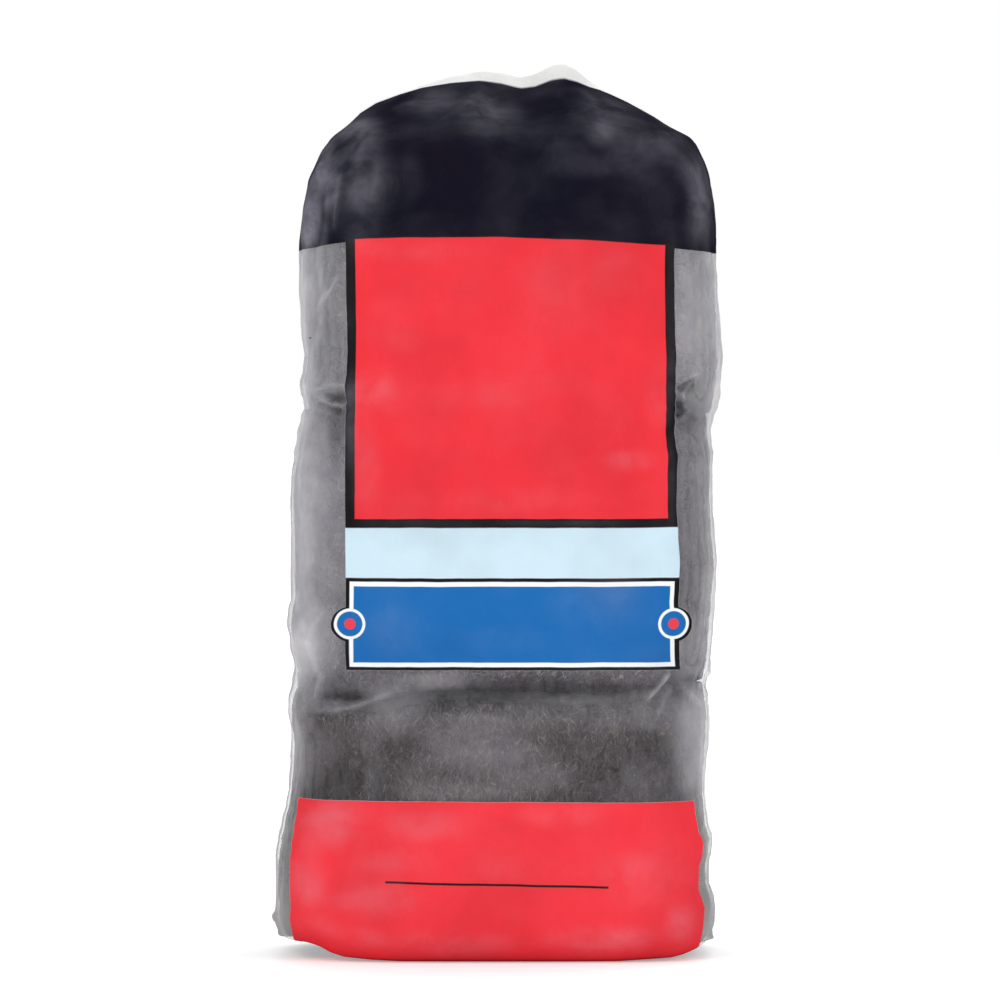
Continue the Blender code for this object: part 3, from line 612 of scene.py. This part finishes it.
def roll_line():
    """The rolled ribbon's middle line in a pad's section with its outward directions, and its thickness."""
    spacing = 1.9
    pitch = (PAD_T + SLIT) / 4
    ribbon = pitch - 0.12
    reach = (PAD_H - 3.5 * pitch - ribbon) / 2 + 0.1
    centre = pitch / 4
    top, bottom = reach - pitch / 4, -reach - pitch / 4
    runs = []

    def straight(across, a, b):
        n = max(2, int(abs(b - a) / spacing))
        z = np.linspace(a, b, n, endpoint=False)
        runs.append(np.stack([np.full(n, across), z, np.full(n, 1.0 if a > b else -1.0), np.zeros(n)], 1))

    def turn(cx, cz, r, a, b):
        n = max(5, int(abs(b - a) * r / spacing))
        t = np.linspace(a, b, n, endpoint=False)
        runs.append(np.stack([cx + r * np.cos(t), cz + r * np.sin(t), np.cos(t), np.sin(t)], 1))

    straight(pitch / 4, top, bottom)
    turn(-centre, bottom, pitch / 2, 0, -np.pi)
    straight(-pitch * 3 / 4, bottom, top)
    turn(centre, top, pitch, np.pi, 0)
    straight(pitch * 5 / 4, top, bottom)
    turn(-centre, bottom, pitch * 3 / 2, 0, -np.pi)
    straight(-pitch * 7 / 4, bottom, top)
    turn(centre, top, pitch * 2, np.pi, np.pi / 2)
    line = np.concatenate(runs)
    line[:, 0] += centre
    return line, ribbon


def squarer(y, z):
    """Fills out the round ends of a pad a little, as packed pads press each other square."""
    half, end = PAD_T / 2, PAD_H / 2 - PAD_T / 2
    beyond = np.clip(np.abs(z) - end, 0, None) * np.sign(z)
    r = np.hypot(y, beyond) / half
    c, s = np.abs((y, beyond)) / np.maximum(r * half, 1e-6)
    k = 1 / np.maximum((c ** 3.6 + s ** 3.6) ** (1 / 3.6), 1e-6)
    k = np.where(beyond == 0, 1, 1 + (k - 1) * np.clip(r, 0, 1) ** 2)
    return y * k, np.where(beyond == 0, z, np.sign(z) * end + beyond * k)


def wool_shade(p, tier):
    """Brightness of the wool at points in millimetres: blots, partly painted shade, and painted shade in the grooves
    between the tiers.
    """
    px, py = to_photo(p)
    near = smoothstep(-12, -30, p[..., 1])
    shade = np.ones(px.shape)
    for blotch in BLOTS:
        shade += blot(px, py, blotch) * near
    # The wool is painted darker next to the grooves between the tiers, as painted shade.
    level = (p[..., 2] - FLOOR) / PITCH - tier
    groove = np.exp(-(np.minimum(level, 1 - level).clip(0) / 0.055) ** 2)
    if tier == 0:
        groove *= level > 0.5
    if tier == 2:
        groove *= level < 0.5
    return (shade - 0.45 * groove).clip(0.15, 1.8)


def make_pad(name, tier, place, finish):
    """A ribbon rolled flat, matted on its outer faces, with ragged ends."""
    line, ribbon = roll_line()
    flip = -1.0 if place % 2 == 0 else 1.0
    outward = {0: -1.0, 3: 1.0}.get(place, 0.0)
    middle_y = -HALF_D + PAD_T / 2 + place * (PAD_T + PAD_GAP)
    middle_z = FLOOR + PAD_H / 2 + tier * PITCH
    half = ribbon / 2
    outer = line[:, :2] + line[:, 2:] * half
    inner = (line[:, :2] - line[:, 2:] * half)[::-1]
    loop = np.concatenate([outer, inner])
    way = np.concatenate([line[:, 2:], -line[::-1, 2:]])
    reach_y = np.abs(middle_y + flip * loop[:, 0]) / HALF_D
    bare = smoothstep(0.2, 0.7, flip * way[:, 0] * outward)
    verts = []
    for u in np.concatenate([[-1.0, -0.992, -0.975], np.linspace(-0.95, 0.95, 32), [0.975, 0.992, 1.0]]):
        thin = np.interp(abs(u), [0.95, 0.992, 1.0], [0, 0.10, 0.38]) * (1 - smoothstep(0.7, 0.95, reach_y))
        ring = loop - way * thin[:, None]
        y, z = squarer(ring[:, 0], ring[:, 1])
        p = np.stack([np.full(len(ring), u * 50), y + place * 31, z + tier * 83], 1)
        lumps = fractal(p / [11, 9, 9], 61 + place, 3)
        fuzz = fractal(p / [2.6, 2.2, 2.2], 71 + place, 2)
        drop = 0.45 * (lumps + 1).clip(0, 2) * 0.6 + 0.10 * (fuzz + 1)
        ended = smoothstep(25, 31, np.abs(ring[:, 1])) * (np.abs(way[:, 1]) > 0.3)
        ring = ring - way * (np.minimum(drop, 0.8) * (1 - ended) * bare - 0.1 * ended)[:, None]
        y, z = squarer(ring[:, 0], ring[:, 1])
        z = middle_z + z
        x, y = wall(u, (middle_y + flip * y) / HALF_D, z, 0.3)
        near_end = smoothstep(0.9, 1.0, abs(u))
        ragged = near_end * (fractal(p / [3, 2.4, 3.2], 81 + place, 3) - 0.5) * 0.6
        x += 0.6 * np.sign(u) * near_end
        verts.append(slump(np.stack([x + np.minimum(ragged, 0) * np.sign(u), y, z], 1)))
    grid = np.array(verts)
    rows, cols, _ = grid.shape
    i = np.arange(len(outer) - 1)
    low = np.stack([i, i + 1, cols - 2 - i, cols - 1 - i], 1)
    high = low + (rows - 1) * cols
    faces = grid_faces(rows, cols)
    if flip > 0:
        faces, high = faces[:, ::-1], high[:, ::-1]
    else:
        low = low[:, ::-1]
    obj = mesh_object(name, grid, [faces, low, high])
    add_point_values(obj, "shade", wool_shade(grid, tier))
    obj.data.materials.append(finish)
    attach(obj, "root")
    return obj


def make_tangle(name, height, finish):
    """Loose wool caught in the groove between two tiers, as a ragged ring, painted dark as the groove's shade."""
    u, v = around(150, 50, 150)
    base_x, base_y = wall(u, v, height, -1.7)
    out_x, out_y = wall(u, v, height, -0.7)
    ax, ay = out_x - base_x, out_y - base_y
    tall = 1.5 + 1.4 * smoothstep(0.9, 1.0, np.abs(u))
    rows = []
    turns = 14
    for k in range(turns):
        t = 2 * math.pi * k / turns
        p = np.stack([base_x / 3.5, base_y / 3.5, np.full(len(u), k * 0.8 + height)], 1)
        ragged = 1 + 0.35 * fractal(p, 91, 3)
        rows.append(np.stack([
            base_x + ax * 1.2 * math.cos(t) * ragged,
            base_y + ay * 1.2 * math.cos(t) * ragged,
            height + tall * math.sin(t) * ragged,
        ], 1))
    grid = slump(np.array(rows))
    faces = grid_faces(turns + 1, len(u)) % (turns * len(u))
    obj = mesh_object(name, grid, [faces[:, ::-1]])
    # Painted shade: the tangle's wool is dimmed to 0.3 of its brightness.
    add_point_values(obj, "shade", np.full(len(u) * turns, 0.3))
    obj.data.materials.append(finish)
    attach(obj, "root")
    return obj


def make_fibres(name, tier, count, length, width, steep, finish):
    """Loose fibres over the outer faces of a tier: flat shavings that follow the wool, a little off it."""
    segments = 3
    u, v = around(400, 200, 400)
    x, y = wall(u, v, FLOOR + (tier + 0.5) * PITCH, 0.0)
    arc = np.append(0, np.cumsum(np.hypot(np.diff(x), np.diff(y))))
    total = arc[-1]
    rng = np.random.default_rng(100 + tier)
    s = rng.uniform(0, total, count)
    heavy = rng.random(count) < 0.55
    s = np.where(heavy, rng.uniform(total * 0.30, total * 0.70, count), s)
    low, high = FLOOR + tier * PITCH + 1.4, FLOOR + (tier + 1) * PITCH - 1.4
    z = rng.uniform(low, high, count)
    heading = rng.normal(np.pi / 2, steep, count)
    bend = rng.normal(0, 0.5, count)
    size = length * rng.uniform(0.5, 1.4, count) / segments
    wide = width * rng.uniform(0.6, 1.5, count)
    path = []
    for k in range(segments + 1):
        path.append((s, z, heading))
        s = s + np.cos(heading) * size
        z = np.clip(z + np.sin(heading) * size, low - 1.2, high + 1.2)
        heading = heading + bend * 0.5 + rng.normal(0, 0.12, count)
    hover = rng.uniform(-0.05, 0.24, count)
    rows = []
    for k, (sk, zk, hk) in enumerate(path):
        grow = hover + 0.22 * np.sin(k / segments * np.pi)
        local = (zk - FLOOR) / PITCH - tier
        edge = np.minimum(local, 1 - local) * PITCH
        sink = np.where(edge < 5.0, 5.0 - np.sqrt(np.maximum(25 - (5.0 - edge) ** 2, 0)), 0)
        taper = math.sin(math.pi * (k + 0.6) / (segments + 1.2))
        sides = []
        for side in (-1, 1):
            ds = -np.sin(hk) * wide * side * taper / 2
            dz = np.cos(hk) * wide * side * taper / 2
            at = np.mod(sk + ds, total)
            uu, vv = np.interp(at, arc, u), np.interp(at, arc, v)
            ax, ay = wall(uu, vv, zk + dz, 0.0)
            bx, by = wall(uu, vv, zk + dz, 1.0)
            ax, bx = (c + 0.3 * np.sign(uu) * smoothstep(0.9, 1.0, np.abs(uu)) for c in (ax, bx))
            g = grow - sink
            sides.append(slump(np.stack([ax + (bx - ax) * g, ay + (by - ay) * g, zk + dz], 1)))
        rows.append(np.stack(sides, 1))
    verts = np.stack(rows, 1).reshape(-1, 3)
    first = np.arange(count)[:, None] * (segments + 1) * 2 + np.arange(segments) * 2
    faces = np.stack([first, first + 1, first + 3, first + 2], 2).reshape(-1, 4)
    obj = mesh_object(name, verts, [faces])
    add_point_values(obj, "shade", wool_shade(verts, tier))
    add_point_values(obj, "tone", np.repeat(rng.random(count) ** 1.5, (segments + 1) * 2))
    obj.data.materials.append(finish)
    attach(obj, "root")
    return obj


def srgb(*c):
    """Linear values of a colour given as 0 to 255."""
    return tuple((v / 255 / 12.92) if v / 255 <= 0.04045 else ((v / 255 + 0.055) / 1.055) ** 2.4 for v in c)


class Graph:
    """The node tree of a new material or world, with short calls for the nodes used here."""

    def __init__(self, owner):
        owner.use_nodes = True
        self.owner = owner
        self.tree = owner.node_tree
        self.tree.nodes.clear()

    def node(self, kind, ins=None, **props):
        n = self.tree.nodes.new(kind)
        for key, value in props.items():
            setattr(n, key, value)
        for key, value in (ins or {}).items():
            self.plug(n.inputs[key], value)
        return n

    def plug(self, socket, value):
        if isinstance(value, bpy.types.NodeSocket):
            self.tree.links.new(value, socket)
        elif isinstance(value, tuple) and socket.type == "RGBA" and len(value) == 3:
            socket.default_value = (*value, 1.0)
        else:
            socket.default_value = value

    def math(self, op, a, b=0.0, *more, clamp=False):
        values = dict(enumerate((a, b, *more)))
        return self.node("ShaderNodeMath", values, operation=op, use_clamp=clamp).outputs[0]

    add = partialmethod(math, "ADD")
    sub = partialmethod(math, "SUBTRACT")
    mul = partialmethod(math, "MULTIPLY")
    least = partialmethod(math, "MINIMUM")
    most = partialmethod(math, "MAXIMUM")
    abs = partialmethod(math, "ABSOLUTE")

    def ramp(self, value, lo, hi, to_lo=0.0, to_hi=1.0, smooth=False):
        ins = {"Value": value, "From Min": lo, "From Max": hi, "To Min": to_lo, "To Max": to_hi}
        n = self.node("ShaderNodeMapRange", ins, interpolation_type="SMOOTHSTEP" if smooth else "LINEAR")
        return n.outputs["Result"]

    def mix(self, fac, a, b):
        return self.node("ShaderNodeMix", {0: fac, 6: a, 7: b}, data_type="RGBA").outputs[2]

    def noise(self, vector, scale, detail=2.0, roughness=0.5, distortion=0.0):
        ins = {"Vector": vector, "Scale": scale, "Detail": detail, "Roughness": roughness, "Distortion": distortion}
        return self.node("ShaderNodeTexNoise", ins).outputs["Fac"]

    def mapping(self, vector, scale=(1, 1, 1), turn=(0, 0, 0), place=(0, 0, 0)):
        ins = {"Vector": vector, "Scale": scale, "Rotation": turn, "Location": place}
        return self.node("ShaderNodeMapping", ins).outputs["Vector"]

    def attribute(self, name):
        return self.node("ShaderNodeAttribute", attribute_name=name).outputs["Fac"]

    def scaled(self, colour, factor):
        return self.node("ShaderNodeVectorMath", {0: colour, "Scale": factor}, operation="SCALE").outputs[0]

    def object_place(self):
        return self.node("ShaderNodeTexCoord").outputs["Object"]

    def seen(self):
        """1 where the camera looks, also by way of gloss or glass, and 0 for the light that falls on things."""
        path = self.node("ShaderNodeLightPath")
        direct = self.most(path.outputs["Is Camera Ray"], path.outputs["Is Glossy Ray"])
        return self.most(direct, path.outputs["Is Transmission Ray"])

    def finish(self, shader, kind="ShaderNodeOutputMaterial"):
        self.node(kind, {"Surface": shader.outputs[0]})
        return self.owner


def new_graph(name):
    return Graph(bpy.data.materials.new(name))


CLEAR = (0.60, 0.60, 0.60)
NAVY = (0.0012, 0.0014, 0.0085)
BLACK = (0.006, 0.005, 0.0055)
RED = srgb(236, 52, 62)
BAND_RED = srgb(240, 56, 67)
PALE = srgb(206, 230, 242)
BLUE = srgb(28, 106, 178)
WHITE = srgb(246, 250, 252)
DOT = srgb(236, 66, 78)
INK_SHEEN_TINT = (0.66, 0.64, 0.76)
WHITE_LIGHT = (1.0, 1.0, 1.0)


def film_material():
    g = new_graph("printed_film")
    uv = g.node("ShaderNodeUVMap", uv_map="print").outputs["UV"]
    split = g.node("ShaderNodeSeparateXYZ", {"Vector": uv})
    where = g.object_place()
    waver_x = g.math("MULTIPLY_ADD", g.noise(where, 90, 2), 1.6, -0.8)
    waver_y = g.math("MULTIPLY_ADD", g.noise(g.mapping(where, place=(3, 1, 7)), 90, 2), 1.6, -0.8)
    x = g.add(g.mul(split.outputs["X"], 1000), waver_x)
    y = g.add(g.mul(split.outputs["Y"], 1000), waver_y)

    def edge(distance):
        return g.math("MULTIPLY_ADD", distance, 1.3, 0.5, clamp=True)

    def box(x0, x1, y0, y1):
        across = g.least(g.sub(x, x0), g.sub(x1, x))
        down = g.least(g.sub(y, y0), g.sub(y1, y))
        return edge(g.least(across, down))

    def disc(cx, cy, r):
        dx, dy = g.sub(x, cx), g.sub(y, cy)
        far = g.math("SQRT", g.add(g.mul(dx, dx), g.mul(dy, dy)))
        return edge(g.sub(r, far))

    def medallions(r, ink):
        return [(disc(cx, 624.5, r), ink) for cx in (350, 673.3)]

    bow = g.mul(g.math("POWER", g.abs(g.ramp(y, 800, 950, -1, 1)), 2.0), 4.0)
    sides = (g.sub(g.add(g.sub(*pair), 4.0), bow) for pair in ((x, BAND_L), (BAND_R, x)))
    band = edge(g.least(g.least(*sides), g.sub(y, BAND_ROW)))
    rule_y = g.sub(y, g.math("MULTIPLY_ADD", g.sub(x, 386), 0.0165, 883.2))
    rule_x = g.least(g.sub(x, 386), g.sub(608, x))
    rule = edge(g.least(g.sub(1.15, g.abs(rule_y)), rule_x))

    layers = [
        (edge(g.sub(HEADER_ROW, y)), NAVY),
        (box(FRAME_L, FRAME_R, 236, 528), BLACK),
        (box(354.8, 668.2, 237, PANEL_ROW), RED),
        (box(FRAME_L, FRAME_R, 528, 578.3), PALE),
        (box(FRAME_L, 679, 578.3, 671), BLACK),
        (disc(349.2, 625.0, 17.8), BLACK),
        (disc(674.4, 625.2, 17.8), BLACK),
        (box(349.2, 673.8, 582, 667.4), WHITE),
        *medallions(15.4, WHITE),
        (box(353.3, 669.7, 586.6, 663), BLUE),
        *medallions(15.4, WHITE),
        *medallions(12.6, BLUE),
        *medallions(5.4, DOT),
        (band, BAND_RED),
        (rule, BLACK),
        (disc(310.5, 332.5, 1.0), BLACK),
    ]
    colour, inked = CLEAR, None
    for mask, ink in layers:
        colour = g.mix(mask, colour, ink)
        inked = mask if inked is None else g.most(inked, mask)
    fin = g.attribute("fin")
    inked = g.mul(inked, g.sub(1.0, fin))

    haze, ink_sheen = g.attribute("haze"), g.attribute("ink_sheen")
    smoke = g.noise(where, 95, 4, 0.55, 0.35)
    ink_sheen = g.mul(ink_sheen, g.ramp(smoke, 0.34, 0.66, 0.35, 1.6), clamp=True)
    streak = g.noise(g.mapping(where, scale=(1, 1, 0.7)), 520, 4, 0.6, 0.8)
    haze = g.add(haze, g.ramp(streak, 0.35, 0.75, -0.03, 0.045))
    facing = g.node("ShaderNodeLayerWeight", {"Blend": 0.28}).outputs["Facing"]
    haze = g.add(haze, g.mul(g.math("POWER", facing, 2.5), 0.42), clamp=True)
    drift = g.ramp(g.noise(g.mapping(where, place=(5, 2, 8)), 42, 3, 0.5), 0.42, 0.68)
    colour = g.mix(g.mul(drift, 0.14), colour, (0.02, 0.01, 0.015))
    # The painted sheen mixes the ink towards a pale tint.
    ink_colour = g.mix(ink_sheen, colour, INK_SHEEN_TINT)
    clear_colour = g.mix(g.ramp(g.noise(where, 160, 3), 0.3, 0.7), (0.50, 0.485, 0.55), (0.66, 0.65, 0.67))
    murk_and_shade = g.attribute("murk_and_shade")
    # Where the film is denser at the sides and the ears it is painted a darker grey, as painted shade.
    clear_colour = g.mix(murk_and_shade, clear_colour, (0.34, 0.335, 0.33))
    haze = g.most(haze, g.mul(murk_and_shade, 0.8))
    clear_colour = g.mix(fin, clear_colour, (0.80, 0.80, 0.79))
    base = g.mix(inked, clear_colour, ink_colour)
    opacity = g.most(haze, g.mul(inked, 0.995))

    crinkle = g.noise(g.mapping(where, scale=(1, 1, 0.6)), 260, 5, 0.55, 0.5)
    height = g.add(g.mul(crinkle, 0.5), g.noise(where, 70))
    bump = g.node("ShaderNodeBump", {"Height": height, "Strength": 0.35, "Distance": 0.0012}).outputs["Normal"]
    rough = g.ramp(g.noise(where, 120, 3), 0.3, 0.7, 0.24, 0.38)
    ins = {"Base Color": base, "Roughness": 0.5, "Normal": bump, "Alpha": opacity, "Specular IOR Level": 0.0}
    body = g.node("ShaderNodeBsdfPrincipled", ins)
    gloss = g.node("ShaderNodeBsdfGlossy", {"Color": WHITE_LIGHT, "Roughness": rough, "Normal": bump})
    sheen = g.ramp(inked, 0, 1, 0.10, 0.005)
    fresnel = g.node("ShaderNodeFresnel", {"IOR": 1.32, "Normal": bump}).outputs["Fac"]
    glossy = g.least(g.mul(fresnel, 0.45), sheen)
    return g.finish(g.node("ShaderNodeMixShader", {0: glossy, 1: body.outputs[0], 2: gloss.outputs[0]}))


def wool_material(name, dark, mid, bright, fine, warm, steep, stretch):
    """Matted steel fibres: streaks in several directions over dark gaps that are painted shade, with a touch of rust
    or blue.
    """
    g = new_graph(name)
    where = g.object_place()
    layers = []
    for k, turn in enumerate((-0.5, 0.15, 0.75, -1.2)):
        warp = g.mapping(where, turn=(0.1 * k, turn * steep, 0.2 * k), place=(k * 0.37, k * 0.11, k * 0.23))
        warp = g.mapping(warp, scale=(1, 1, stretch + 0.05 * k))
        n = g.noise(warp, fine * (1 + 0.25 * k), 3, 0.6, 0.35)
        ridge = g.abs(g.math("MULTIPLY_ADD", n, 2.0, -1.0))
        layers.append(g.sub(1.0, g.mul(ridge, 3.2), clamp=True))
    strands = layers[0]
    for other in layers[1:]:
        strands = g.most(strands, other)
    clump = g.noise(g.mapping(where, scale=(1, 1, 0.7)), 130, 4, 0.6, 0.4)
    deep = g.mul(g.noise(where, 45), 0.35)
    shade = g.ramp(g.math("MULTIPLY_ADD", clump, 0.65, deep), 0.34, 0.66)
    # The gaps between the fibres are painted dark, as painted shade.
    matte = g.mix(shade, dark, mid)
    colour = g.mix(g.mul(strands, g.ramp(shade, 0, 1, 0.35, 0.95)), matte, bright)
    tint = g.ramp(g.noise(g.mapping(where, place=(9, 9, 9)), 600, 2), 0.5, 0.75)
    colour = g.mix(g.mul(tint, 0.5), colour, warm)
    colour = g.scaled(colour, g.attribute("shade"))
    height = g.add(strands, g.mul(clump, 1.5))
    bump = g.node("ShaderNodeBump", {"Height": height, "Strength": 0.9, "Distance": 0.001}).outputs["Normal"]
    rough = g.ramp(strands, 0, 1, 0.62, 0.42)
    ins = {"Base Color": colour, "Metallic": 0.35, "Roughness": rough, "Normal": bump}
    return g.finish(g.node("ShaderNodeBsdfPrincipled", ins))


def strand_material(name, colour, bright):
    """Single steel fibres, each of its own tone, with glints along them."""
    g = new_graph(name)
    where = g.object_place()
    glint = g.ramp(g.noise(where, 900, 3), 0.35, 0.68, 0.35, 1.0)
    tone = g.mix(g.mul(glint, g.attribute("tone")), colour, bright)
    tone = g.scaled(tone, g.attribute("shade"))
    return g.finish(g.node("ShaderNodeBsdfPrincipled", {"Base Color": tone, "Metallic": 0.7, "Roughness": 0.38}))


def make_stage():
    """A wide sheet of white paper and a white studio round it."""
    g = new_graph("floor_paper")
    where = g.object_place()
    grain = g.ramp(g.noise(where, 400, 3), 0.3, 0.7, 0.90, 0.93)
    base = g.node("ShaderNodeCombineColor", {"Red": grain, "Green": grain, "Blue": grain}).outputs["Color"]
    paper = g.node("ShaderNodeBsdfPrincipled", {"Base Color": base, "Roughness": 0.9, "Specular IOR Level": 0.1})
    spot = g.node("ShaderNodeSeparateXYZ", {"Vector": where})
    squares = (g.math("POWER", g.abs(spot.outputs[axis]), 2.0) for axis in "XY")
    away = g.math("SQRT", g.add(*squares))
    level = g.ramp(away, 0.05, 1.1, 0.32, 0.62, smooth=True)
    glow = g.node("ShaderNodeEmission", {"Color": WHITE_LIGHT, "Strength": g.mul(g.seen(), level)})
    finish = g.finish(g.node("ShaderNodeAddShader", {0: paper.outputs[0], 1: glow.outputs[0]}))
    corners = [(-6, -6, 0), (6, -6, 0), (6, 6, 0), (-6, 6, 0)]
    floor = mesh_object("floor", corners, [np.array([[0, 1, 2, 3]])], metres=True)
    floor.data.materials.append(finish)

    g = Graph(bpy.data.worlds.new("studio"))
    back = g.node("ShaderNodeBackground", {"Color": WHITE_LIGHT, "Strength": g.ramp(g.seen(), 0, 1, 0.62, 1.0)})
    bpy.context.scene.world = g.finish(back, "ShaderNodeOutputWorld")


def add_lamp(name, place, aim, size, power):
    data = bpy.data.lights.new(name, "AREA")
    data.shape = "RECTANGLE"
    data.size, data.size_y = size
    data.energy = power
    lamp = bpy.data.objects.new(name, data)
    lamp.location = place
    lamp.rotation_euler = (Vector(aim) - Vector(place)).to_track_quat("-Z", "Y").to_euler()
    bpy.context.scene.collection.objects.link(lamp)


def make_camera():
    data = bpy.data.cameras.new("camera")
    data.sensor_width = 36.0
    data.lens = 36.0 * REACH / (1000 * PIXEL)
    data.clip_start, data.clip_end = 0.05, 50.0
    cam = bpy.data.objects.new("camera", data)
    cam.location = EYE * MM
    cam.rotation_euler = (math.pi / 2 - RISE, 0.0, 0.0)
    bpy.context.scene.collection.objects.link(cam)
    bpy.context.scene.camera = cam


# Wools: dark gap (painted shade between the fibres), mat and bright strand, the strands' fineness, the tint, and how
# steep and how long they run.
WOOLS = {
    "coarse": ((0.004, 0.0035, 0.008), (0.033, 0.029, 0.042), (0.17, 0.152, 0.158),
               1700, (0.12, 0.066, 0.052), 0.6, 0.35),
    "medium": ((0.058, 0.055, 0.074), (0.200, 0.192, 0.218), (0.36, 0.345, 0.37),
               2000, (0.13, 0.11, 0.13), 1.0, 0.40),
    "fine": ((0.115, 0.111, 0.123), (0.30, 0.292, 0.31), (0.50, 0.49, 0.51),
             2200, (0.26, 0.25, 0.29), 1.0, 0.45),
}

# Loose fibres: their number, length and width in mm, spread of direction, and darkest and brightest colour.
STRANDS = {
    "coarse": (25000, 2.3, 0.095, 0.60, (0.006, 0.005, 0.008), (0.27, 0.225, 0.215)),
    "medium": (24500, 2.0, 0.085, 1.1, (0.03, 0.027, 0.033), (0.56, 0.53, 0.56)),
    "fine": (24500, 1.8, 0.080, 1.2, (0.06, 0.058, 0.066), (0.76, 0.74, 0.78)),
}

# Lamps: place and aim in metres, size in metres, and power.
LAMPS = {
    "key": ((-0.85, -1.25, 1.15), (0.0, 0.0, 0.11), (0.9, 0.7), 7.6),
    "fill": ((1.15, -1.05, 0.65), (0.0, 0.0, 0.11), (0.7, 0.9), 4.4),
    "top": ((0.1, 0.35, 1.30), (0.0, 0.0, 0.15), (0.8, 0.5), 4.0),
    "low": ((0.0, -1.5, 0.12), (0.0, 0.0, 0.02), (1.4, 0.18), 2.2),
    "rear": ((0.7, 1.3, 0.85), (0.0, 0.0, 0.10), (0.9, 0.7), 3.0),
}

film = make_film()
film.data.materials.append(film_material())
wools = {grade: wool_material(f"{grade}_wool", *WOOLS[grade]) for grade in GRADES}
for tier, grade in enumerate(GRADES):
    for place in range(4):
        pad = make_pad(f"{grade}_roll_{place + 1}", tier, place, wools[grade])
        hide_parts(f"{grade}_pad_{place + 1}")
for tier, grade in enumerate(GRADES[1:]):
    tangle = make_tangle(f"{grade}_tangle", FLOOR + (tier + 1) * PITCH - PAD_GAP / 2, wools[grade])
for tier, grade in enumerate(GRADES):
    count, length, width, steep, dim, bright = STRANDS[grade]
    finish = strand_material(f"{grade}_strand", dim, bright)
    fibres = make_fibres(f"{grade}_fibres", tier, count, length, width, steep, finish)

make_stage()
for name, lamp in LAMPS.items():
    add_lamp(name, *lamp)
make_camera()
bpy.context.scene.view_settings.view_transform = "Standard"
